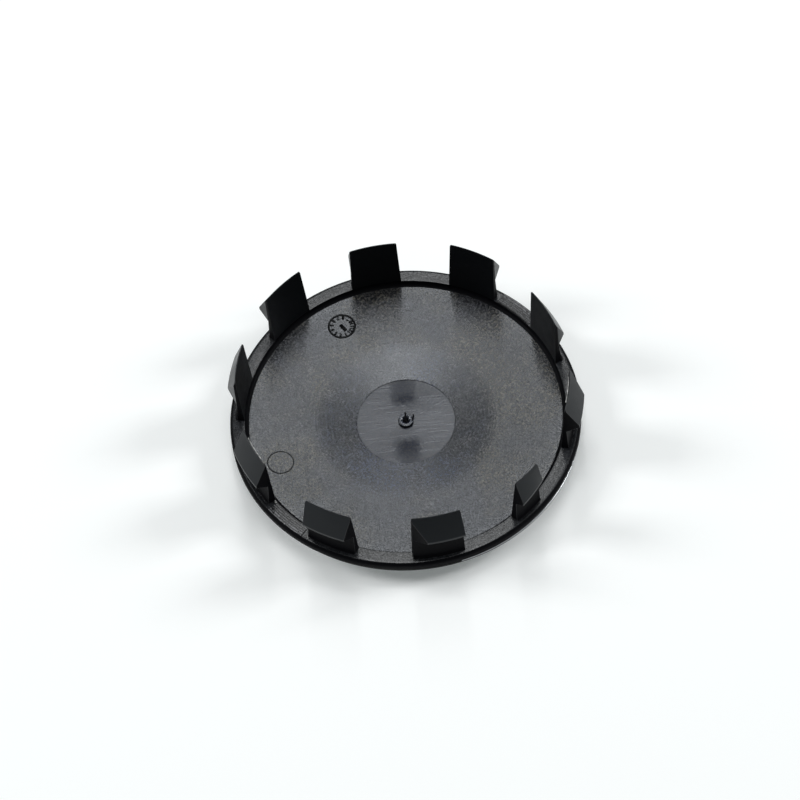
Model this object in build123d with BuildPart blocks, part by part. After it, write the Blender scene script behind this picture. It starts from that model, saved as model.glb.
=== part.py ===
from build123d import *
from math import tan, radians
import os

os.makedirs("parts", exist_ok=True)

# Cap, face down on its domed front, millimetres
cap_diameter = 56.0
flange_height = 4.8

# Aluminium face sheet, flat in the middle and rising to the rim
face_flat_diameter = 15.0
face_sag = 2.78
face_thickness = 0.6
face_edge_round = 0.45
bond_gap = 0.1

# Flange and the recess inside it
flange_width = 2.38
flange_edge_round = 0.2
recess_depth = 0.93
recess_foot_round = 0.7

# Dished back of the disc, depths below the flange
crease_diameter = 28.4
crease_depth = 1.75
insert_diameter = 15.8
insert_rim_depth = 2.57
insert_step = 0.15

# Stub of the moulding gate in the middle
gate_diameter = 2.45
gate_height = 0.5
gate_pit_diameter = 1.3
gate_pit_depth = 0.7

# Raised flange pads between the tabs on the X axis
pad_count = 2
pad_angle = 15.0
pad_rise = 0.15

# Snap tabs, heights above the flange, the narrow key tab first
tab_count = 10
key_tab_angle = -90.0
tab_width = 8.2
key_tab_width = 5.4
tab_draft = 1.4
tab_height = 10.3
tab_lean = 0.48
tip_land = 0.12
stem_thickness = 1.18
stem_neck = 0.65
stem_foot_round = 0.3
catch_height = 4.6
nose_reach = 2.62
nose_height = 5.9
nose_land = 0.45
nose_round = 0.3

# Four side slides shape the barbs, so a barb's ends follow the pull of its slide
slide_pitch = 90.0
slide_draft = 6.0
trim_margin = 2.0

cap_radius = cap_diameter / 2
flat_radius = face_flat_diameter / 2
recess_radius = cap_radius - flange_width
crease_radius = crease_diameter / 2
insert_radius = insert_diameter / 2
recess_floor = flange_height - recess_depth
insert_floor = flange_height - insert_rim_depth - insert_step
moulding_front = face_thickness + bond_gap
moulding_edge = moulding_front + face_sag
tip_radius = recess_radius + tab_lean
barb_radius = tip_radius + tip_land
stem_radius = recess_radius + stem_thickness
neck_radius = recess_radius + tab_lean * catch_height / tab_height + stem_neck
nose_radius = recess_radius + nose_reach
nose_top = flange_height + nose_height + nose_land
tab_top = flange_height + tab_height
tab_pitch = 360 / tab_count

# Face sheet, a shallow dome
with BuildPart() as face_disc:
    with BuildSketch(Plane.XZ) as sheet_section:
        with BuildLine():
            Line((0, 0), (flat_radius, 0))
            TangentArc((flat_radius, 0), (cap_radius, face_sag), tangent=(1, 0))
            Line((cap_radius, face_sag), (cap_radius, face_thickness + face_sag))
            TangentArc((flat_radius, face_thickness), (cap_radius, face_thickness + face_sag), tangent=(1, 0))
            Polyline((flat_radius, face_thickness), (0, face_thickness), (0, 0))
        make_face()
        sheet_edge = sheet_section.vertices().sort_by_distance((cap_radius, face_sag))[0]
        fillet(sheet_edge, face_edge_round)
    revolve(axis=Axis.Z)
face_disc.part.label = "face_disc"
export_step(face_disc.part, "parts/face_disc.step")

# Ring with the section of a snap tab, rooted in the flange and trimmed to ten tabs in plan
with BuildPart() as tab_ring:
    with BuildSketch(Plane.XZ) as tab_section:
        with BuildLine():
            Polyline(
                (recess_radius, recess_floor),
                (recess_radius, flange_height),
                (tip_radius, tab_top),
                (barb_radius, tab_top),
                (nose_radius, nose_top),
                (nose_radius, flange_height + nose_height),
                (neck_radius, flange_height + catch_height),
                (stem_radius, flange_height),
                (stem_radius + stem_foot_round, flange_height),
                (stem_radius + stem_foot_round, recess_floor),
                close=True,
            )
        make_face()
        nose_edge = tab_section.vertices().sort_by_distance((nose_radius, nose_top))[0]
        fillet(nose_edge, nose_round)
        stem_foot = tab_section.vertices().sort_by_distance((stem_radius, flange_height))[0]
        fillet(stem_foot, stem_foot_round)
    revolve(axis=Axis.Z)
    with BuildSketch(Plane.XY.offset(recess_floor)) as tab_plan:
        for number in range(tab_count):
            angle = key_tab_angle + number * tab_pitch
            lead = slide_pitch * round(angle / slide_pitch) - angle
            half = (tab_width if number else key_tab_width) / 2
            run = nose_radius + trim_margin - barb_radius
            right_cut = run * tan(radians(slide_draft + lead)) if lead >= 0 else 0
            left_cut = run * tan(radians(slide_draft - lead)) if lead <= 0 else 0
            with Locations(Location((0, 0, 0), (0, 0, angle))):
                Polygon(
                    (recess_radius - trim_margin, -half),
                    (barb_radius, -half),
                    (barb_radius + run, right_cut - half),
                    (barb_radius + run, half - left_cut),
                    (barb_radius, half),
                    (recess_radius - trim_margin, half),
                )
    extrude(tab_plan.sketch, amount=recess_depth + tab_height, taper=tab_draft, mode=Mode.INTERSECT)

# Moulding: disc, flange and tabs in one
with BuildPart() as clip_body:
    with BuildSketch(Plane.XZ) as body_section:
        with BuildLine():
            Line((0, moulding_front), (flat_radius, moulding_front))
            TangentArc((flat_radius, moulding_front), (cap_radius, moulding_edge), tangent=(1, 0))
            Polyline(
                (cap_radius, moulding_edge),
                (cap_radius, flange_height),
                (recess_radius, flange_height),
                (recess_radius, recess_floor),
                (crease_radius, flange_height - crease_depth),
                (insert_radius, flange_height - insert_rim_depth),
                (insert_radius, insert_floor),
                (0, insert_floor),
                (0, moulding_front),
            )
        make_face()
        rim_edge = body_section.vertices().sort_by_distance((cap_radius, flange_height))[0]
        fillet(rim_edge, flange_edge_round)
        recess_foot = body_section.vertices().sort_by_distance((recess_radius, recess_floor))[0]
        fillet(recess_foot, recess_foot_round)
    revolve(axis=Axis.Z)
    with BuildSketch(Plane.XY.offset(flange_height)):
        with PolarLocations(0, pad_count):
            Polygon(
                (0, 0),
                (cap_radius, -cap_radius * tan(radians(pad_angle / 2))),
                (cap_radius, cap_radius * tan(radians(pad_angle / 2))),
            )
        Circle(cap_radius - flange_edge_round, mode=Mode.INTERSECT)
        Circle(recess_radius, mode=Mode.SUBTRACT)
    extrude(amount=pad_rise)
    with BuildSketch(Plane.XY.offset(insert_floor)):
        Circle(gate_diameter / 2)
    extrude(amount=gate_height)
    with BuildSketch(Plane.XZ):
        with BuildLine():
            Polyline(
                (0, insert_floor + gate_height),
                (gate_pit_diameter / 2, insert_floor + gate_height),
                (0, insert_floor + gate_height - gate_pit_depth),
                close=True,
            )
        make_face()
    revolve(axis=Axis.Z, mode=Mode.SUBTRACT)
    add(tab_ring.part)
clip_body.part.label = "clip_body"
export_step(clip_body.part, "parts/clip_body.step")
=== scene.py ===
import math

import bmesh
import bpy
from mathutils import Matrix, Vector


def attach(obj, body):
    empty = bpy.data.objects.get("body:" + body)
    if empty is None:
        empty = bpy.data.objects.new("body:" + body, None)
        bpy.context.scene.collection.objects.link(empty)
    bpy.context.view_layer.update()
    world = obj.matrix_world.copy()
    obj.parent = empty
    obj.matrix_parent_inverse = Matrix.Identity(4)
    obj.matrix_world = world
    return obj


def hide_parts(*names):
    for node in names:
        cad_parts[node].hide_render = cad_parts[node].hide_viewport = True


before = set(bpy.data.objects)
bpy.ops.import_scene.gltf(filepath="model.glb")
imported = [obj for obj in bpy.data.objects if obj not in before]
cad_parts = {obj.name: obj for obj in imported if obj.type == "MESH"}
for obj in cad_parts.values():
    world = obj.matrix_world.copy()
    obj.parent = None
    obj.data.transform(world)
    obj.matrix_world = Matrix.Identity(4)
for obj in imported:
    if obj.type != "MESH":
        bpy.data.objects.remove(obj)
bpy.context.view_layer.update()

MM = 0.001

# Sizes of the cap in millimetres, as in the CAD model apart from the rounding of the rim
CAP_R = 28.0
FLANGE_Z = 4.8
RECESS_R = 25.62
RECESS_Z = 3.87
FOOT_FILLET = 0.7
RIM_ROUND = 0.65
CREASE_R = 14.2
CREASE_Z = 3.05
INSERT_R = 7.9
INSERT_RIM_Z = 2.23
INSERT_Z = 2.08
FLAT_R = 7.5
FACE_SAG = 2.78
SHEET = 0.6
BOND = 0.1
GATE_R = 1.225
GATE_Z = 2.58
PIT_R = 0.65
PIT_Z = 1.88
PAD_RISE = 0.15
PAD_HALF = math.radians(7.5)

# Snap tabs, heights above the flange
TAB_PITCH = 36.0
KEY_ANGLE = -90.0
TAB_HALF = 4.1
KEY_HALF = 2.7
TAB_DRAFT = math.tan(math.radians(1.4))
TAB_HEIGHT = 10.3
TIP_R = RECESS_R + 0.48
BARB_R = TIP_R + 0.12
STEM_R = RECESS_R + 1.18
NECK_R = 26.484
CATCH_Z = 4.6
NOSE_Z = 5.9
NOSE_TOP = 6.35
NOSE_ROUND = 0.3
FOOT_ROUND = 0.3
TIP_CORNER = 0.4
EDGE = 0.09


def arc(centre, radius, start, end, steps):
    """Points of an arc in the (r, z) plane, angles in degrees."""
    points = []
    for i in range(steps + 1):
        a = math.radians(start + (end - start) * i / steps)
        points.append((centre[0] + radius * math.cos(a), centre[1] + radius * math.sin(a)))
    return points


def new_object(name, verts, faces, materials, smooth_angle=30.0):
    """A mesh object from millimetre points, shaded smooth up to an angle."""
    mesh = bpy.data.meshes.new(name)
    mesh.from_pydata([(x * MM, y * MM, z * MM) for x, y, z in verts], [], faces)
    mesh.validate()
    bm = bmesh.new()
    bm.from_mesh(mesh)
    bmesh.ops.recalc_face_normals(bm, faces=bm.faces)
    bm.to_mesh(mesh)
    bm.free()
    for material in materials:
        mesh.materials.append(material)
    mesh.polygons.foreach_set("use_smooth", [True] * len(mesh.polygons))
    mesh.set_sharp_from_angle(angle=math.radians(smooth_angle))
    piece = bpy.data.objects.new(name, mesh)
    bpy.context.scene.collection.objects.link(piece)
    return piece


def lathe(name, profile, materials, segments, pick):
    """Turns an (r, z) profile about Z. pick(r, z) gives the material index of a face."""
    verts = []
    rings = []
    for r, z in profile:
        if r < 1e-6:
            rings.append([len(verts)])
            verts.append((0, 0, z))
            continue
        ring = []
        for s in range(segments):
            a = 2 * math.pi * s / segments
            ring.append(len(verts))
            verts.append((r * math.cos(a), r * math.sin(a), z))
        rings.append(ring)
    faces = []
    for lower, upper in zip(rings, rings[1:]):
        for s in range(segments):
            t = (s + 1) % segments
            if len(lower) == 1:
                faces.append((lower[0], upper[s], upper[t]))
            elif len(upper) == 1:
                faces.append((lower[s], upper[0], lower[t]))
            else:
                faces.append((lower[s], upper[s], upper[t], lower[t]))
    piece = new_object(name, verts, faces, materials)
    for polygon in piece.data.polygons:
        c = polygon.center
        polygon.material_index = pick(math.hypot(c.x, c.y) / MM, c.z / MM)
    return piece


def add(piece, node):
    """Puts a piece on the part's one body, in place of a CAD node."""
    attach(piece, "root")
    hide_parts(node)


# Materials

def new_material(name, color, roughness, specular=0.5):
    """A Principled material, with its nodes, links and shader."""
    material = bpy.data.materials.new(name)
    material.use_nodes = True
    nodes = material.node_tree.nodes
    shader = nodes["Principled BSDF"]
    shader.inputs["Base Color"].default_value = (*color, 1)
    shader.inputs["Roughness"].default_value = roughness
    shader.inputs["Specular IOR Level"].default_value = specular
    return material, nodes, material.node_tree.links, shader


def object_point(nodes):
    return nodes.new("ShaderNodeTexCoord").outputs["Object"]


def noise(nodes, links, vector, scale, detail, roughness):
    texture = nodes.new("ShaderNodeTexNoise")
    texture.inputs["Scale"].default_value = scale
    texture.inputs["Detail"].default_value = detail
    texture.inputs["Roughness"].default_value = roughness
    links.new(vector, texture.inputs["Vector"])
    return texture.outputs["Fac"]


def ramp(nodes, links, value, low, high, out_low, out_high):
    """The value taken from one range to another, and held at the ends."""
    node = nodes.new("ShaderNodeMapRange")
    node.inputs["From Min"].default_value = low
    node.inputs["From Max"].default_value = high
    node.inputs["To Min"].default_value = out_low
    node.inputs["To Max"].default_value = out_high
    links.new(value, node.inputs["Value"])
    return node.outputs["Result"]


def bump(nodes, links, height, strength, distance):
    node = nodes.new("ShaderNodeBump")
    node.inputs["Strength"].default_value = strength
    node.inputs["Distance"].default_value = distance
    links.new(height, node.inputs["Height"])
    return node.outputs["Normal"]


def math_node(nodes, links, operation, a, b=None):
    node = nodes.new("ShaderNodeMath")
    node.operation = operation
    for socket, value in zip(node.inputs, (a, b)):
        if value is None:
            continue
        if isinstance(value, (int, float)):
            socket.default_value = value
        else:
            links.new(value, socket)
    return node.outputs["Value"]


def tint(nodes, links, value, low, high):
    """A colour between two, by value."""
    node = nodes.new("ShaderNodeMix")
    node.data_type = "RGBA"
    for socket, color in ((node.inputs["A"], low), (node.inputs["B"], high)):
        if isinstance(color, tuple):
            socket.default_value = (*color, 1)
        else:
            links.new(color, socket)
    links.new(value, node.inputs["Factor"])
    return node.outputs["Result"]


def vector_math(nodes, links, operation, a, b=None):
    node = nodes.new("ShaderNodeVectorMath")
    node.operation = operation
    links.new(a, node.inputs[0])
    if isinstance(b, tuple):
        node.inputs[1].default_value = b
    elif isinstance(b, (int, float)):
        node.inputs["Scale"].default_value = b
    elif b is not None:
        links.new(b, node.inputs[1])
    gives_number = operation in ("LENGTH", "DOT_PRODUCT")
    return node.outputs["Value" if gives_number else "Vector"]


def polar(nodes, links):
    """The object point, its distance from the cap's axis and its direction from the axis."""
    point = object_point(nodes)
    flat = vector_math(nodes, links, "MULTIPLY", point, (1, 1, 0))
    radius = vector_math(nodes, links, "LENGTH", flat)
    direction = vector_math(nodes, links, "NORMALIZE", flat)
    return point, radius, direction


def by_radius(nodes, links, radius, start, end, out_start, out_end):
    """A ramp over the distance from the axis, between two radii in millimetres."""
    return ramp(nodes, links, radius, start * MM, end * MM, out_start, out_end)


def along_axis(nodes, links, value):
    """A vector with the value as its height."""
    node = nodes.new("ShaderNodeCombineXYZ")
    links.new(value, node.inputs["Z"])
    return node.outputs["Vector"]


# Two directions across the insert: the streaks run along the second
OUT_WAY = (0.67, 0.742, 0.0)
STREAK_WAY = (0.742, -0.67, 0.0)
# Noise units per millimetre along and across the streaks
STREAKS_ALONG = 0.16
STREAKS_ACROSS = 2.8
# Gate blush, millimetres from the gate: where it sets in, how it ends at the sides, how it fades out and in
BLUSH_START = (2.9, 4.1)
BLUSH_SIDE = (2.3, 0.9)
BLUSH_FADE_FAR = (4.4, 5.8)
BLUSH_FADE_NEAR = (-7.6, -5.0)
BLUSH_RAGGED = 0.7


def measured(nodes, links, point, way):
    """Millimetres of the point along a direction."""
    return vector_math(nodes, links, "DOT_PRODUCT", point, tuple(part / MM for part in way))


def wiped(nodes, links, point):
    """The point drawn out along the streaks, in noise units."""
    node = nodes.new("ShaderNodeCombineXYZ")
    along_marks = measured(nodes, links, point, STREAK_WAY)
    across_marks = measured(nodes, links, point, OUT_WAY)
    links.new(math_node(nodes, links, "MULTIPLY", along_marks, STREAKS_ALONG), node.inputs["X"])
    links.new(math_node(nodes, links, "MULTIPLY", across_marks, STREAKS_ACROSS), node.inputs["Y"])
    return node.outputs["Vector"]


def gate_blush(nodes, links, point):
    """1 on two dull patches either side of the gate, ragged at the edge and fading outward."""
    ragged = noise(nodes, links, point, 1500, 3, 0.7)
    ragged = ramp(nodes, links, ragged, 0.3, 0.7, -BLUSH_RAGGED, BLUSH_RAGGED)
    out = measured(nodes, links, point, OUT_WAY)
    across = math_node(nodes, links, "ABSOLUTE", measured(nodes, links, point, STREAK_WAY))
    across = math_node(nodes, links, "ADD", across, ragged)
    start = math_node(nodes, links, "ADD", math_node(nodes, links, "ABSOLUTE", out), ragged)
    reach = ramp(nodes, links, start, *BLUSH_START, 0.0, 1.0)
    width = ramp(nodes, links, across, *BLUSH_SIDE, 0.0, 1.0)
    fade = math_node(nodes, links, "MULTIPLY", ramp(nodes, links, out, *BLUSH_FADE_FAR, 1.0, 0.45),
                     ramp(nodes, links, out, *BLUSH_FADE_NEAR, 0.35, 1.0))
    return math_node(nodes, links, "MULTIPLY", math_node(nodes, links, "MULTIPLY", reach, width), fade)


def crease_band(nodes, links, radius):
    """Strength of the turning rings, which peaks at the crease."""
    before = by_radius(nodes, links, radius, CREASE_R - 4.7, CREASE_R - 0.4, 0.3, 2.4)
    past = by_radius(nodes, links, radius, CREASE_R + 0.2, CREASE_R + 2.8, 1.0, 0.1)
    return math_node(nodes, links, "MULTIPLY", before, past)


def grained_nylon():
    """Moulded back of the disc: a fine spark grain, hazed by glass fibre, with rings along the crease.

    The haze is bluer inside the crease and warmer outside it. The disc is smoother along the recess wall.
    """
    material, nodes, links, shader = new_material("grained_nylon", (0.008, 0.009, 0.0105), 0.3, 0.75)
    shader.inputs["Specular Tint"].default_value = (0.92, 0.95, 1.0, 1)
    point, radius, direction = polar(nodes, links)
    fine = noise(nodes, links, point, 5200, 2, 0.6)
    speck = noise(nodes, links, point, 2600, 3, 0.75)
    cloud = noise(nodes, links, point, 210, 5, 0.62)
    turn = vector_math(nodes, links, "SCALE", direction, 16.0)
    out = along_axis(nodes, links, math_node(nodes, links, "MULTIPLY", radius, 180.0))
    flow = noise(nodes, links, vector_math(nodes, links, "ADD", turn, out), 1.0, 4, 0.6)
    rough = math_node(nodes, links, "ADD", ramp(nodes, links, cloud, 0.3, 0.7, 0.15, 0.25),
                      ramp(nodes, links, flow, 0.3, 0.7, 0.0, 0.04))
    near_wall = by_radius(nodes, links, radius, RECESS_R - 2.02, RECESS_R - 0.92, 0.0, -0.05)
    rough = math_node(nodes, links, "ADD", rough, near_wall)
    links.new(rough, shader.inputs["Roughness"])
    rings = noise(nodes, links, along_axis(nodes, links, radius), 2500, 2, 0.6)
    by_crease = crease_band(nodes, links, radius)
    crests = math_node(nodes, links, "MULTIPLY", ramp(nodes, links, rings, 0.48, 0.64, 0.0, 0.13),
                       ramp(nodes, links, flow, 0.4, 0.58, 0.0, 1.0))
    haze = math_node(nodes, links, "MULTIPLY", ramp(nodes, links, speck, 0.44, 0.66, 0.0, 1.0),
                     ramp(nodes, links, cloud, 0.3, 0.7, 0.5, 1.0))
    haze = math_node(nodes, links, "ADD", haze, math_node(nodes, links, "MULTIPLY", crests, by_crease))
    drift = noise(nodes, links, point, 95, 3, 0.6)
    warm = math_node(nodes, links, "ADD", ramp(nodes, links, drift, 0.4, 0.6, 0.0, 0.55),
                     by_radius(nodes, links, radius, CREASE_R - 1.7, CREASE_R + 1.3, 0.0, 0.45))
    fibre = tint(nodes, links, warm, (0.05, 0.062, 0.106), (0.114, 0.103, 0.076))
    links.new(tint(nodes, links, haze, (0.001, 0.0015, 0.003), fibre), shader.inputs["Base Color"])
    grain = math_node(nodes, links, "ADD", fine, math_node(nodes, links, "MULTIPLY", speck, 1.6))
    grain = math_node(nodes, links, "ADD", grain, math_node(nodes, links, "MULTIPLY", rings, by_crease))
    links.new(bump(nodes, links, grain, 0.35, 0.00004), shader.inputs["Normal"])
    return material


def turned_nylon():
    """Insert: fine radial brushing and streaks, with two dull patches of gate blush. The base colour is
    paler along the streaks: a painted sheen.
    """
    material, nodes, links, shader = new_material("turned_nylon", (0.004, 0.005, 0.0075), 0.34, 0.74)
    shader.inputs["Specular Tint"].default_value = (0.95, 0.97, 1.0, 1)
    shader.inputs["Anisotropic"].default_value = 0.3
    point, _, direction = polar(nodes, links)
    tangent = nodes.new("ShaderNodeTangent")
    tangent.direction_type = "RADIAL"
    tangent.axis = "Z"
    links.new(tangent.outputs["Tangent"], shader.inputs["Tangent"])
    spokes = noise(nodes, links, vector_math(nodes, links, "SCALE", direction, 22.0), 1.0, 4, 0.65)
    streaks = noise(nodes, links, wiped(nodes, links, point), 1.0, 3, 0.7)
    rough = math_node(nodes, links, "ADD", ramp(nodes, links, spokes, 0.3, 0.7, 0.2, 0.28),
                      ramp(nodes, links, streaks, 0.35, 0.65, 0.0, 0.16))
    blush = math_node(nodes, links, "MULTIPLY", gate_blush(nodes, links, point), 0.6)
    links.new(math_node(nodes, links, "ADD", rough, blush), shader.inputs["Roughness"])
    fine = noise(nodes, links, point, 3600, 3, 0.75)
    # Painted sheen: the haze is made paler along the streaks, standing in for light streaking across the
    # turned insert.
    haze = math_node(nodes, links, "MULTIPLY", ramp(nodes, links, streaks, 0.4, 0.7, 0.2, 1.0),
                     ramp(nodes, links, fine, 0.35, 0.65, 0.0, 1.0))
    color = tint(nodes, links, haze, (0.004, 0.007, 0.019), (0.055, 0.052, 0.048))
    links.new(color, shader.inputs["Base Color"])
    links.new(bump(nodes, links, fine, 0.2, 0.00003), shader.inputs["Normal"])
    return material


def flange_nylon():
    """Flange top: a coarser grain with dark pits."""
    material, nodes, links, shader = new_material("flange_nylon", (0.008, 0.009, 0.0105), 0.32, 0.6)
    point = object_point(nodes)
    coarse = noise(nodes, links, point, 2600, 4, 0.75)
    links.new(ramp(nodes, links, coarse, 0.35, 0.7, 0.34, 0.16), shader.inputs["Roughness"])
    links.new(tint(nodes, links, ramp(nodes, links, coarse, 0.45, 0.68, 0.0, 1.0),
                   (0.002, 0.0025, 0.004), (0.045, 0.047, 0.052)), shader.inputs["Base Color"])
    links.new(bump(nodes, links, coarse, 0.45, 0.00005), shader.inputs["Normal"])
    return material


def pad_nylon():
    """Flange pads: dark, cut in fine rings, with glints painted pale onto the ring crests."""
    material, nodes, links, shader = new_material("pad_nylon", (0.005, 0.005, 0.006), 0.25, 0.5)
    point, radius, _ = polar(nodes, links)
    rings = noise(nodes, links, along_axis(nodes, links, radius), 3000, 0, 0.5)
    dots = noise(nodes, links, point, 2000, 2, 0.7)
    # Painted glints: the ring crests are paled in the base colour to stand in for light glinting off them.
    crest = math_node(nodes, links, "MULTIPLY", ramp(nodes, links, rings, 0.5, 0.58, 0.0, 1.0),
                      ramp(nodes, links, dots, 0.42, 0.58, 0.0, 1.0))
    color = tint(nodes, links, crest, (0.004, 0.004, 0.005), (0.15, 0.15, 0.16))
    links.new(color, shader.inputs["Base Color"])
    links.new(ramp(nodes, links, dots, 0.35, 0.65, 0.2, 0.4), shader.inputs["Roughness"])
    links.new(bump(nodes, links, rings, 0.8, 0.0001), shader.inputs["Normal"])
    return material


def tab_nylon():
    """Snap tabs: a smooth, deep black with a faint tool grain."""
    material, nodes, links, shader = new_material("tab_nylon", (0.003, 0.0032, 0.0042), 0.36, 0.22)
    shader.inputs["Specular Tint"].default_value = (0.86, 0.94, 1.0, 1)
    point = object_point(nodes)
    fine = noise(nodes, links, point, 3500, 3, 0.6)
    cloud = noise(nodes, links, point, 300, 3, 0.5)
    links.new(ramp(nodes, links, cloud, 0.3, 0.7, 0.31, 0.41), shader.inputs["Roughness"])
    links.new(bump(nodes, links, fine, 0.15, 0.00005), shader.inputs["Normal"])
    return material


def worn_nylon():
    """Edges of the tabs and the pale barb ends: a little paler and shinier, partly wear and partly a
    painted highlight where they catch the light.
    """
    material, nodes, links, shader = new_material("worn_nylon", (0.024, 0.026, 0.028), 0.36, 0.35)
    point = object_point(nodes)
    wear = noise(nodes, links, point, 900, 4, 0.7)
    links.new(ramp(nodes, links, wear, 0.35, 0.65, 0.3, 0.45), shader.inputs["Roughness"])
    return material


def flash_nylon():
    """Threads of flash: thin, paled by stress. On the chip by the left pad the pale colour also stands in
    for a glint: a painted glint.
    """
    material, nodes, links, shader = new_material("flash_nylon", (0.2, 0.195, 0.185), 0.35, 0.5)
    pale = noise(nodes, links, object_point(nodes), 1400, 3, 0.6)
    links.new(tint(nodes, links, ramp(nodes, links, pale, 0.35, 0.65, 0.0, 1.0),
                   (0.12, 0.12, 0.12), (0.6, 0.59, 0.57)), shader.inputs["Base Color"])
    return material


def wall_nylon():
    """Side walls, stems, the pit and the whiskers: matt, deep black and almost unreflecting. On the walls,
    stems, pit, pad sides and recess fillet this black paints the shade they stand in.
    """
    material, nodes, links, shader = new_material("wall_nylon", (0.003, 0.003, 0.004), 0.5, 0.04)
    point = object_point(nodes)
    fine = noise(nodes, links, point, 3000, 3, 0.6)
    links.new(ramp(nodes, links, fine, 0.3, 0.7, 0.45, 0.58), shader.inputs["Roughness"])
    links.new(bump(nodes, links, fine, 0.2, 0.00005), shader.inputs["Normal"])
    return material


def black_lacquer():
    """Lacquered edge and border of the face sheet, with a faint orange peel. On the edge the black also
    stands in for the shade the bare metal would reflect there: painted shade.
    """
    material, nodes, links, shader = new_material("black_lacquer", (0.004, 0.004, 0.0045), 0.3, 0.12)
    point = object_point(nodes)
    peel = noise(nodes, links, point, 1800, 2, 0.5)
    links.new(ramp(nodes, links, peel, 0.3, 0.7, 0.26, 0.34), shader.inputs["Roughness"])
    links.new(bump(nodes, links, peel, 0.1, 0.00003), shader.inputs["Normal"])
    return material


def mark_nylon():
    """Mould marks, dark and almost unreflecting so they stand out against the grained disc: painted shade
    along their relief.
    """
    material, nodes, links, shader = new_material("mark_nylon", (0.003, 0.003, 0.0035), 0.3, 0.1)
    fine = noise(nodes, links, object_point(nodes), 3000, 2, 0.5)
    links.new(ramp(nodes, links, fine, 0.3, 0.7, 0.25, 0.35), shader.inputs["Roughness"])
    return material


def satin_aluminium():
    """Face sheet: spun aluminium with fine rings and a soft clear anodise."""
    material, nodes, links, shader = new_material("satin_aluminium", (0.62, 0.63, 0.65), 0.32)
    shader.inputs["Metallic"].default_value = 1.0
    point, radius, _ = polar(nodes, links)
    rings = noise(nodes, links, along_axis(nodes, links, radius), 6500, 3, 0.7)
    cloud = noise(nodes, links, point, 180, 4, 0.6)
    rough = math_node(nodes, links, "ADD", ramp(nodes, links, rings, 0.3, 0.7, 0.26, 0.36),
                      ramp(nodes, links, cloud, 0.3, 0.7, 0.0, 0.05))
    links.new(rough, shader.inputs["Roughness"])
    links.new(bump(nodes, links, rings, 0.15, 0.00002), shader.inputs["Normal"])
    return material


GRAIN = grained_nylon()
TURNED = turned_nylon()
FLANGE = flange_nylon()
PAD = pad_nylon()
TAB = tab_nylon()
WORN_AND_HIGHLIT = worn_nylon()
BLACK_AND_SHADE = wall_nylon()
FLASH_AND_GLINT = flash_nylon()
SHADED_MARK = mark_nylon()
LACQUER_AND_SHADE = black_lacquer()
ALUMINIUM = satin_aluminium()


# Disc, recess and flange, turned in one

def dome(r):
    """Rise of the face above its flat middle at radius r."""
    run = CAP_R - FLAT_R
    radius = (run * run + FACE_SAG * FACE_SAG) / (2 * FACE_SAG)
    return radius - math.sqrt(radius * radius - max(0.0, r - FLAT_R) ** 2)


def dish(r):
    """Height of the disc's back at radius r, with the crease softened."""
    inner = INSERT_RIM_Z + (CREASE_Z - INSERT_RIM_Z) * (r - INSERT_R) / (CREASE_R - INSERT_R)
    outer = CREASE_Z + (RECESS_Z - CREASE_Z) * (r - CREASE_R) / (RECESS_R - CREASE_R)
    soft = 0.05
    return (inner + outer - math.sqrt((inner - outer) ** 2 + soft ** 2)) / 2


# Radii of the mesh rings on plain surfaces, and the hole in the middle that the gate stub covers
HOLE_R = PIT_R + 0.1
MIDDLE_RING = 4.0
FLANGE_RINGS = (26.4, 27.2)
FRONT_RINGS = (26.0, 22.0, 18.0, 14.0, 10.0, FLAT_R)
DISH_STEPS = 48
# Small roundings, and how far the disc's grain runs up the fillet at the foot of the recess; above that the
# fillet is black as painted shade
RECESS_EDGE = 0.05
FRONT_EDGE = 0.1
GRAIN_END_R = RECESS_R - 0.58


def insert_profile():
    """The sunk insert from the middle out, and the step up at its edge."""
    points = [(r, INSERT_Z) for r in (HOLE_R, MIDDLE_RING, INSERT_R - 0.14, INSERT_R - 0.06)]
    points += [(INSERT_R - 0.01, INSERT_Z + 0.02), (INSERT_R, INSERT_RIM_Z - 0.04)]
    return points


def body_profile():
    """The moulding without its tabs, from the insert over the flange and back along the front."""
    points = insert_profile()
    start, end = INSERT_R + 0.2, RECESS_R - FOOT_FILLET
    radii = [INSERT_R + 0.05] + [start + (end - start) * i / DISH_STEPS for i in range(DISH_STEPS + 1)]
    points += [(r, dish(r)) for r in radii]
    points += arc((end, dish(end) + FOOT_FILLET), FOOT_FILLET, -90, 0, 10)[1:]
    points += arc((RECESS_R + RECESS_EDGE, FLANGE_Z - RECESS_EDGE), RECESS_EDGE, 180, 90, 3)
    points += [(r, FLANGE_Z) for r in FLANGE_RINGS]
    points += arc((CAP_R - RIM_ROUND, FLANGE_Z - RIM_ROUND), RIM_ROUND, 90, 0, 9)
    front = SHEET + BOND
    points += arc((CAP_R - FRONT_EDGE, front + FACE_SAG + FRONT_EDGE), FRONT_EDGE, 0, -80, 3)
    points += [(r, front + dome(r)) for r in (*FRONT_RINGS, MIDDLE_RING, HOLE_R)]
    return points


def body_zone(r, z):
    """Material of the turned body at a point: 0 disc, 1 insert, 2 flange, 3 wall, whose black paints the
    shade on the rim and the recess fillet.
    """
    if r < INSERT_R - 0.02:
        return 1
    if r > CAP_R - 0.3 * RIM_ROUND or (r > GRAIN_END_R and z < FLANGE_Z - 0.03):
        return 3
    return 2 if r > RECESS_R else 0


FINE_TURN = 512
body_finishes = [GRAIN, TURNED, FLANGE, BLACK_AND_SHADE]
body = lathe("disc_and_flange", body_profile(), body_finishes, FINE_TURN, body_zone)
add(body, "clip_body")


# Gate stub with its pit

PIT_DARK_R = 0.38
GATE_ROUND = 0.12
GATE_TURN = 96


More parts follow.
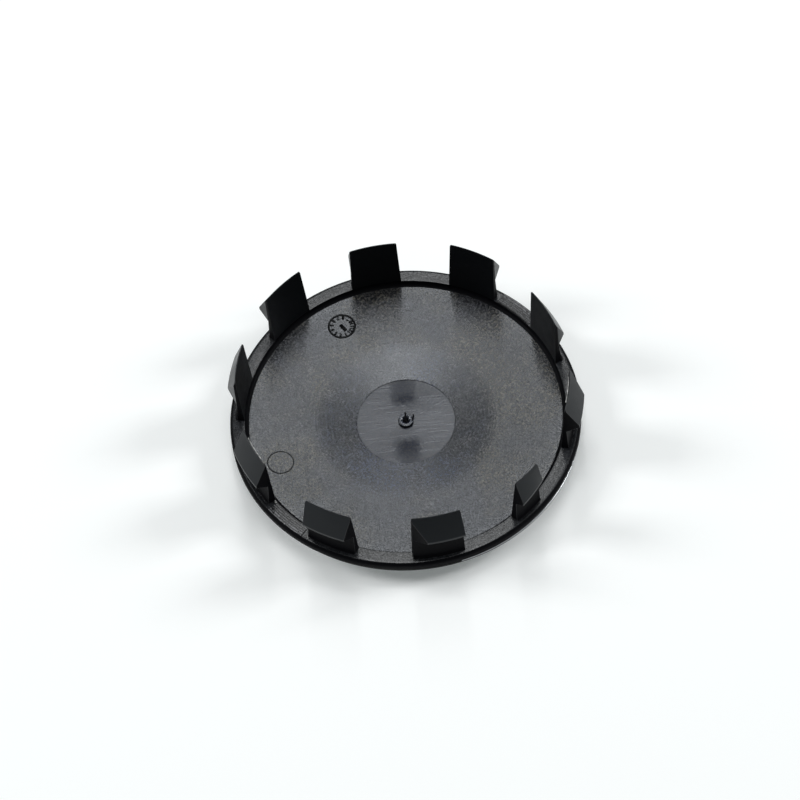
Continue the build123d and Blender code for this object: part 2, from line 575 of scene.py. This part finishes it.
def gate_profile():
    """The stub from the bottom of its pit over its rim and down its side, a little into the insert."""
    points = [(0, PIT_Z), (0.42, PIT_Z + 0.45), (PIT_R, GATE_Z - 0.08), (PIT_R + GATE_ROUND, GATE_Z)]
    points += arc((GATE_R - GATE_ROUND, GATE_Z - GATE_ROUND), GATE_ROUND, 90, 0, 4)
    return points + [(GATE_R, INSERT_Z - 0.05)]


def gate_zone(r, z):
    """Material of the stub at a point: 0 on its rim, 1 deep in the pit and down the side, black as painted
    shade.
    """
    return 0 if PIT_DARK_R < r < GATE_R - 0.02 else 1


add(lathe("gate_stub", gate_profile(), [GRAIN, BLACK_AND_SHADE], GATE_TURN, gate_zone), "clip_body")


def strand(name, path, thick, thin, material=BLACK_AND_SHADE):
    """A drawn-out thread of plastic along a few points, its radius tapering from thick to thin."""
    sides = 8
    verts, faces = [], []
    points = [Vector(p) for p in path]
    for i, p in enumerate(points):
        ahead = (points[min(i + 1, len(points) - 1)] - points[max(i - 1, 0)]).normalized()
        side = ahead.cross(Vector((0, 0, 1))).normalized()
        rise = side.cross(ahead)
        radius = thick + (thin - thick) * i / (len(points) - 1)
        for s in range(sides):
            a = 2 * math.pi * s / sides
            verts.append(tuple(p + (side * math.cos(a) + rise * math.sin(a)) * radius))
    for i in range(len(points) - 1):
        for s in range(sides):
            t = (s + 1) % sides
            faces.append((i * sides + s, i * sides + t, (i + 1) * sides + t, (i + 1) * sides + s))
    faces += [tuple(range(sides)), tuple(range(len(verts) - sides, len(verts)))]
    return new_object(name, verts, faces, [material], 60)


# Two whiskers of plastic drawn out of the gate: their paths, and their radii at the start and the end
SPIKE = [(-0.2, -0.2, 2.35), (0.1, 0.15, 2.6), (0.45, 0.55, 2.66), (0.8, 0.85, 2.62), (0.92, 1.05, 2.56)]
SPIKE_RADII = (0.2, 0.12)
HOOK = [
    (0.6, -0.9, 2.5), (0.8, -0.65, 2.5), (0.9, -0.4, 2.5),
    (1.15, -0.45, 2.45), (1.42, -0.33, 2.45), (1.57, -0.15, 2.45),
]
HOOK_RADII = (0.15, 0.11)
add(strand("gate_spike", SPIKE, *SPIKE_RADII), "clip_body")
add(strand("gate_hook", HOOK, *HOOK_RADII), "clip_body")


# Mould marks on the disc: a month dial and a plain ring

MARK_RISE = 0.03
MARK_SUNK = 0.01
DIAL = (5.8, 19.8)
DIAL_R = 2.3
DIAL_WIDTH = 0.34
DIAL_START = -83.0
MONTHS = 12
NUMBERS_R = 1.66
NUMBER_SIZE = 0.78
NUMBER_WEIGHT = 0.06
ARROW = [(-0.3, -1.1), (0.3, -1.1), (0.3, 0.4), (0.65, 0.4), (0.0, 1.2), (-0.65, 0.4), (-0.3, 0.4)]
ARROW_LEAN = math.radians(-7)
RING = (-19.4, 8.9)
RING_R = 2.15
RING_WIDTH = 0.18


def mark(name, verts, faces):
    """A raised mark from flat millimetre points, laid on the dished disc."""
    laid = [(x, y, dish(math.hypot(x, y)) - MARK_SUNK) for x, y in verts]
    # The marks are dark as painted shade.
    piece = new_object(name, laid, faces, [SHADED_MARK])
    solid = piece.modifiers.new("height", "SOLIDIFY")
    solid.thickness = (MARK_RISE + MARK_SUNK) * MM
    solid.offset = 1.0
    return piece


def ring_mark(centre, radius, width, verts, faces):
    """Adds a flat ring to a mark's points and faces."""
    segments = 72
    first = len(verts)
    for s in range(segments):
        a = 2 * math.pi * s / segments
        for r in (radius - width, radius):
            verts.append((centre[0] + r * math.cos(a), centre[1] + r * math.sin(a)))
    for s in range(segments):
        t = (s + 1) % segments
        faces.append((first + 2 * s, first + 2 * s + 1, first + 2 * t + 1, first + 2 * t))


def number_mark(label, place, turn, verts, faces):
    """Adds a number, centred at a place and turned, to a mark's points and faces."""
    curve = bpy.data.curves.new("number", "FONT")
    curve.body = label
    curve.size = NUMBER_SIZE
    curve.resolution_u = 3
    curve.offset = NUMBER_WEIGHT
    curve.align_x = "CENTER"
    curve.align_y = "CENTER"
    letters = bpy.data.objects.new("number", curve)
    bpy.context.scene.collection.objects.link(letters)
    bpy.context.view_layer.update()
    mesh = bpy.data.meshes.new_from_object(letters.evaluated_get(bpy.context.evaluated_depsgraph_get()))
    first = len(verts)
    cos, sin = math.cos(turn), math.sin(turn)
    for v in mesh.vertices:
        verts.append((place[0] + v.co.x * cos - v.co.y * sin, place[1] + v.co.x * sin + v.co.y * cos))
    faces.extend(tuple(first + i for i in polygon.vertices) for polygon in mesh.polygons)
    bpy.data.meshes.remove(mesh)
    bpy.data.objects.remove(letters)
    bpy.data.curves.remove(curve)


def dial():
    """Month dial: a ring, the numbers 1 to 12 inside it and an arrow."""
    verts, faces = [], []
    ring_mark(DIAL, DIAL_R, DIAL_WIDTH, verts, faces)
    for month in range(1, MONTHS + 1):
        a = math.radians(DIAL_START - 360 / MONTHS * month)
        place = (DIAL[0] + NUMBERS_R * math.cos(a), DIAL[1] + NUMBERS_R * math.sin(a))
        number_mark(str(month), place, a + math.pi / 2, verts, faces)
    first = len(verts)
    cos, sin = math.cos(ARROW_LEAN), math.sin(ARROW_LEAN)
    verts += [(DIAL[0] + x * cos - y * sin, DIAL[1] + x * sin + y * cos) for x, y in ARROW]
    faces += [(first, first + 1, first + 2, first + 6), (first + 3, first + 4, first + 5)]
    return mark("month_dial", verts, faces)


def plain_ring():
    """One plain ring."""
    verts, faces = [], []
    ring_mark(RING, RING_R, RING_WIDTH, verts, faces)
    return mark("plain_ring", verts, faces)


add(dial(), "clip_body")
add(plain_ring(), "clip_body")


def bevel(piece, width, material=-1):
    """Rounds the sharp edges of a piece, with a material of their own if one is given by its index."""
    modifier = piece.modifiers.new("edges", "BEVEL")
    modifier.width = width * MM
    modifier.segments = 2
    modifier.limit_method = "ANGLE"
    modifier.angle_limit = math.radians(25)
    modifier.harden_normals = False
    modifier.material = material


# Raised pads of the flange, on the X axis

PAD_INNER = RECESS_R + 0.06
PAD_OUTER = CAP_R - 0.4
PAD_FOOT = FLANGE_Z - 0.1
PAD_TOP = FLANGE_Z + PAD_RISE
PAD_EDGE = 0.04


def pad(name, middle):
    """A raised pad about a direction, cut in rings on top and plain at its sides."""
    corners = ((PAD_INNER, PAD_FOOT), (PAD_INNER, PAD_TOP), (PAD_OUTER, PAD_TOP), (PAD_OUTER, PAD_FOOT))
    steps = 24
    verts, faces = [], []
    for i in range(steps + 1):
        a = middle - PAD_HALF + 2 * PAD_HALF * i / steps
        verts += [(r * math.cos(a), r * math.sin(a), z) for r, z in corners]
    for i in range(steps):
        for j in range(4):
            k = (j + 1) % 4
            faces.append((4 * i + j, 4 * i + k, 4 * i + 4 + k, 4 * i + 4 + j))
    faces += [(0, 1, 2, 3), tuple(4 * steps + j for j in (3, 2, 1, 0))]
    piece = new_object(name, verts, faces, [PAD, BLACK_AND_SHADE])
    # The pad's sides take the black material as painted shade.
    for polygon in piece.data.polygons:
        polygon.material_index = 0 if polygon.normal.z > 0.5 else 1
    bevel(piece, PAD_EDGE)
    return piece


for name, middle in (("flange_pad_right", 0.0), ("flange_pad_left", math.pi)):
    add(pad(name, middle), "clip_body")


# Snap tabs, each end of a barb cut along the pull of its side slide

def along(p, q, r):
    """Height at radius r on the line from p to q."""
    return p[1] + (q[1] - p[1]) * (r - p[0]) / (q[0] - p[0])


ROOT_Z = -0.3
CORNER_STEPS = 4
ACROSS = 16
ROW = ACROSS + 1
# Places in a tab's section: the first point of the inner corner and the first point of the barb
INNER_START = 2
BARB_START = INNER_START + 2 * (CORNER_STEPS + 1)
# Thread of flash: how far it lies inside the tip's inner edge and below it, its radii, and the points that
# stay bare at its start and its end
FLASH_INSET = 0.12
FLASH_DROP = 0.1
FLASH_RADII = (0.08, 0.05)
FLASH_ENDS = (3, 2)


def tab_section(nose, rise):
    """A tab's section from its inner root round, the corner cut at each point, and the end of the barb."""
    tip = (BARB_R, TAB_HEIGHT)
    nose_top = (nose, NOSE_TOP + rise)
    slope = math.degrees(math.atan2(nose - BARB_R, TAB_HEIGHT - nose_top[1]))
    reach = NOSE_ROUND * math.tan(math.radians(slope / 2))
    quarter = arc((0, 0), TIP_CORNER, 0, 90, CORNER_STEPS)
    corner = [(TAB_HEIGHT - TIP_CORNER + z, TIP_CORNER - y) for y, z in quarter]
    section = [(RECESS_R + 0.005, ROOT_Z), (RECESS_R, 0.0)]
    section += [(along((0.0, RECESS_R), (TAB_HEIGHT, TIP_R), z), z) for z, y in corner]
    section += [(along(tip[::-1], nose_top[::-1], z), z) for z, y in reversed(corner)]
    rounding = [0.0] * INNER_START + [y for z, y in corner] + [y for z, y in reversed(corner)]
    section += [(NECK_R, along(tip, nose_top, NECK_R))]
    section += arc((nose - NOSE_ROUND, nose_top[1] - reach), NOSE_ROUND, slope, 0, 5)
    section += [(nose, NOSE_Z + rise)]
    barb_end = len(section)
    section += [(NECK_R, CATCH_Z)]
    section += arc((STEM_R + FOOT_ROUND, FOOT_ROUND), FOOT_ROUND, 180, 270, 5)
    section += [(STEM_R + FOOT_ROUND, ROOT_Z)]
    rounding += [0.0] * (len(section) - BARB_START)
    return section, rounding, barb_end


def tab_points(section, rounding, number, lean, nose, skew, right_cut, left_cut, aside):
    """Rows of points across a tab, one row for each point of its section."""
    half = KEY_HALF if number == 0 else TAB_HALF
    turn = Matrix.Rotation(math.radians(KEY_ANGLE + TAB_PITCH * number), 4, "Z")
    verts = []
    for (r, z), corner_cut in zip(section, rounding):
        shrink = max(0.0, z + FLANGE_Z - RECESS_Z) * TAB_DRAFT + corner_cut
        share = max(0.0, (r - NECK_R) / (nose - NECK_R)) if z > CATCH_Z - 0.1 else 0.0
        low = right_cut * share + shrink - half
        high = half - shrink - left_cut * share
        for i in range(ROW):
            y = low + (high - low) * i / ACROSS
            x = math.sqrt(r * r - y * y) + skew * share * y / half
            p = turn @ Vector((x + lean * max(0.0, z) / TAB_HEIGHT, y + aside, z))
            verts.append((p.x, p.y, p.z + FLANGE_Z))
    return verts


def tab_faces(count, barb_end, painted_pale_ends):
    """Faces of a tab and their materials: 0 smooth, 1 worn and painted pale as a highlight, 2 wall, black
    as painted shade.
    """
    faces, finish = [], []
    # The stem's outer faces take the black material as painted shade.
    for j in range(count):
        k = (j + 1) % count
        for i in range(ACROSS):
            faces.append((j * ROW + i, k * ROW + i, k * ROW + i + 1, j * ROW + i + 1))
            finish.append(0 if 1 <= j < barb_end else 2)
    stem = [*range(INNER_START + 1), BARB_START - 1, BARB_START, *range(barb_end, count)]
    barb = list(range(BARB_START, barb_end + 1))
    rounds = [(INNER_START + m, INNER_START + m + 1, BARB_START - 2 - m, BARB_START - 1 - m)
              for m in range(CORNER_STEPS)]
    # On the listed tabs the barb ends take the paler material as a painted highlight; the other end faces
    # are black as painted shade.
    for i in (0, ACROSS):
        for outline in [stem, barb] + rounds:
            faces.append(tuple(j * ROW + i for j in outline))
            finish.append(1 if outline is barb and painted_pale_ends else 2)
    return faces, finish


def tip_flash(number, verts):
    """A thread of flash along the inner edge of a tab's tip."""
    edge = (INNER_START + CORNER_STEPS) * ROW
    inset = 1 - FLASH_INSET / TIP_R
    tip = verts[edge + FLASH_ENDS[0]:edge + ROW - FLASH_ENDS[1]]
    path = [(x * inset, y * inset, z - FLASH_DROP) for x, y, z in tip]
    return strand(f"tip_flash_{number + 1}", path, *FLASH_RADII, FLASH_AND_GLINT)


def tab(number, lean, nose, skew, right_cut, left_cut, aside, rise):
    """One snap tab. The barb's ends move in by their cuts from its root to its nose."""
    section, rounding, barb_end = tab_section(nose, rise)
    verts = tab_points(section, rounding, number, lean, nose, skew, right_cut, left_cut, aside)
    faces, finish = tab_faces(len(section), barb_end, number in PAINTED_PALE_ENDS)
    piece = new_object(f"snap_tab_{number + 1}", verts, faces, [TAB, WORN_AND_HIGHLIT, BLACK_AND_SHADE])
    piece.data.polygons.foreach_set("material_index", finish)
    # The rounded edges take the paler material: partly wear, partly a painted edge highlight.
    bevel(piece, EDGE, material=1)
    add(piece, "clip_body")
    if number in FLASHED:
        add(tip_flash(number, verts), "clip_body")


# How each tab came out of the tool, from the key tab round: lean of the tip, reach of the nose, skew of the
# nose across half the width, cuts of the right and left ends of the barb, shift aside, rise of the nose
TABS = [
    (0.3, 27.7, -0.4, -0.1, -0.1, -0.3, 0.0),
    (0.0, 28.45, 0.0, 0.1, 1.8, -0.1, 0.0),
    (-0.4, 27.7, 0.0, 0.6, 0.0, 0.0, 0.0),
    (0.15, 28.2, 0.0, 0.0, 0.6, 0.0, 0.0),
    (-0.4, 28.2, 0.0, 1.8, 0.0, 0.0, 0.0),
    (0.35, 28.0, 0.0, 0.2, -0.2, 0.0, 0.8),
    (0.0, 27.8, 0.0, 0.0, 1.8, 0.0, 0.0),
    (0.0, 28.4, 0.0, 0.4, -0.2, 0.0, 0.0),
    (0.3, 28.2, 0.0, 0.2, 0.6, 0.0, -0.2),
    (-0.25, 28.3, 0.0, 2.1, -0.2, 0.4, 0.0),
]
# Tabs with a bright thread of flash along the tip, and tabs whose barb ends are painted pale as a highlight
FLASHED = (1, 7)
PAINTED_PALE_ENDS = (2, 3, 4, 5, 6)
for number, measures in enumerate(TABS):
    tab(number, *measures)
# A chip of flash at an inner corner of the left pad, pale as a painted glint: its path, and its radii at
# the start and the end
GLINT_CHIP = [(-25.66, 3.5, 4.9), (-25.6, 3.72, 4.99), (-25.5, 3.92, 5.02)]
GLINT_CHIP_RADII = (0.2, 0.06)
add(strand("flash_chip_painted_glint", GLINT_CHIP, *GLINT_CHIP_RADII, FLASH_AND_GLINT), "clip_body")


# Aluminium face sheet, shifted a little to one side, where its bare edge shows along an arc; elsewhere its
# edge is black as painted shade

SHEET_R = 27.64
SHEET_SHIFT = 0.35
SHEET_WAY = math.radians(-85.0)
BARE_ARC = math.radians(34.0)
BORDER_R = 26.6
SHEET_ROUND = 0.45
SHEET_TOP = SHEET + dome(SHEET_R)
SHEET_LIP = 0.09
SHEET_SIDE_R = SHEET_R - 0.3
SHEET_STEPS = 24


def sheet_profile():
    """The sheet from the middle of its front, round its edge and back along its inside."""
    end = SHEET_R - SHEET_ROUND
    radii = [FLAT_R + (end - FLAT_R) * i / SHEET_STEPS for i in range(1, SHEET_STEPS + 1)]
    points = [(0, 0), (FLAT_R, 0)] + [(r, dome(r)) for r in radii]
    points += arc((end, dome(end) + SHEET_ROUND), SHEET_ROUND, -78, 0, 6)
    points += [(SHEET_R, SHEET_TOP - SHEET_LIP), (SHEET_R - 0.02, SHEET_TOP - 0.03)]
    points += [(SHEET_R - 0.08, SHEET_TOP)] + [(r, SHEET + dome(r)) for r in (*FRONT_RINGS, 0.0)]
    return points


def sheet_zone(r, z):
    """Material of the sheet at a point: 0 aluminium, 1 the lacquered border that turns over its edge, black
    on the edge as painted shade.
    """
    on_front = z < dome(r) + 0.3 * SHEET
    on_side = r > SHEET_SIDE_R
    return 1 if r > BORDER_R and z < SHEET_TOP - SHEET_LIP and (on_front or on_side) else 0


def lacquer_side(piece):
    """Blackens the sheet's side up to its top as painted shade, except along the bare arc."""
    for polygon in piece.data.polygons:
        x, y, _ = polygon.center
        off_arc = abs(math.atan2(y, x) - SHEET_WAY) > BARE_ARC
        if off_arc and math.hypot(x, y) > SHEET_SIDE_R * MM:
            polygon.material_index = 1


sheet = lathe("face_sheet", sheet_profile(), [ALUMINIUM, LACQUER_AND_SHADE], FINE_TURN, sheet_zone)
lacquer_side(sheet)
shift = Vector((math.cos(SHEET_WAY), math.sin(SHEET_WAY), 0)) * SHEET_SHIFT * MM
sheet.data.transform(Matrix.Translation(shift))
add(sheet, "face_disc")


# Floor

FLOOR_LIFT = 0.1
FLOOR_HALF = 2.0


def floor_material():
    """Matt white paper, lifted a little towards white where it is looked at."""
    material, nodes, links, shader = new_material("white_floor", (0.95, 0.95, 0.95), 0.9, 0.0)
    path = nodes.new("ShaderNodeLightPath")
    seen = math_node(nodes, links, "ADD", path.outputs["Is Camera Ray"], path.outputs["Is Glossy Ray"])
    seen = math_node(nodes, links, "ADD", seen, path.outputs["Is Transmission Ray"])
    fibre = noise(nodes, links, object_point(nodes), 1500, 4, 0.6)
    links.new(bump(nodes, links, fibre, 0.1, 0.0001), shader.inputs["Normal"])
    shader.inputs["Emission Color"].default_value = (0.93, 1.0, 0.97, 1)
    links.new(math_node(nodes, links, "MULTIPLY", seen, FLOOR_LIFT), shader.inputs["Emission Strength"])
    return material


floor_corners = [(x * FLOOR_HALF, y * FLOOR_HALF, 0) for x, y in ((-1, -1), (1, -1), (1, 1), (-1, 1))]
floor_mesh = bpy.data.meshes.new("floor")
floor_mesh.from_pydata(floor_corners, [], [(0, 1, 2, 3)])
floor_mesh.materials.append(floor_material())
floor = bpy.data.objects.new("floor", floor_mesh)
bpy.context.scene.collection.objects.link(floor)


# Camera at the photograph's angle

camera_data = bpy.data.cameras.new("camera")
camera_data.lens = 128.25
camera_data.sensor_width = 36.0
camera_data.clip_start = 0.01
camera = bpy.data.objects.new("camera", camera_data)
bpy.context.scene.collection.objects.link(camera)
# Its axes, and its place in millimetres, as fitted to the photograph
right = Vector((0.68679326, -0.72496136, -0.05240274))
up = Vector((0.62835102, 0.55593548, 0.54416059))
back = Vector((-0.36536286, -0.40665314, 0.83734295))
place = Vector((-165.02697, -182.72923, 385.62976)) * MM
camera.matrix_world = Matrix((
    (right.x, up.x, back.x, place.x),
    (right.y, up.y, back.y, place.y),
    (right.z, up.z, back.z, place.z),
    (0, 0, 0, 1),
))
bpy.context.scene.camera = camera


# Studio light

FAR_SIDE = math.radians(47.91)
LAMP_DISTANCE = 0.7
LAMP_COLOR = (0.985, 1.0, 1.005)
SKY = (0.19, 0.205, 0.205, 1)


def softbox(name, azimuth, elevation, width, height, radiance):
    """A lamp facing the cap, its azimuth counted from the camera's far side, positive to the right."""
    a = FAR_SIDE - math.radians(azimuth)
    e = math.radians(elevation)
    direction = Vector((math.cos(a) * math.cos(e), math.sin(a) * math.cos(e), math.sin(e)))
    data = bpy.data.lights.new(name, "AREA")
    data.shape = "RECTANGLE"
    data.size = width
    data.size_y = height
    data.energy = radiance * math.pi * width * height
    data.color = LAMP_COLOR
    lamp = bpy.data.objects.new(name, data)
    bpy.context.scene.collection.objects.link(lamp)
    lamp.location = direction * LAMP_DISTANCE
    lamp.rotation_mode = "QUATERNION"
    lamp.rotation_quaternion = direction.to_track_quat("Z", "Y")


# Azimuth, elevation, width, height and radiance of each lamp
softbox("middle_strip", 2, 57, 0.055, 0.52, 5.7)
softbox("low_softbox", 3, 51, 0.14, 0.08, 1.6)
softbox("right_high_softbox", 26, 74, 0.14, 0.12, 5.0)
softbox("left_high_softbox", -28, 73, 0.14, 0.12, 6.4)
softbox("right_side_softbox", 79, 34, 0.2, 0.24, 12.0)
softbox("left_side_softbox", -79, 34, 0.2, 0.24, 12.0)
softbox("top_softbox", 0, 90, 0.3, 0.28, 3.2)

world = bpy.data.worlds.new("studio")
world.use_nodes = True
world.node_tree.nodes["Background"].inputs["Color"].default_value = SKY
bpy.context.scene.world = world
bpy.context.scene.view_settings.view_transform = "Standard"
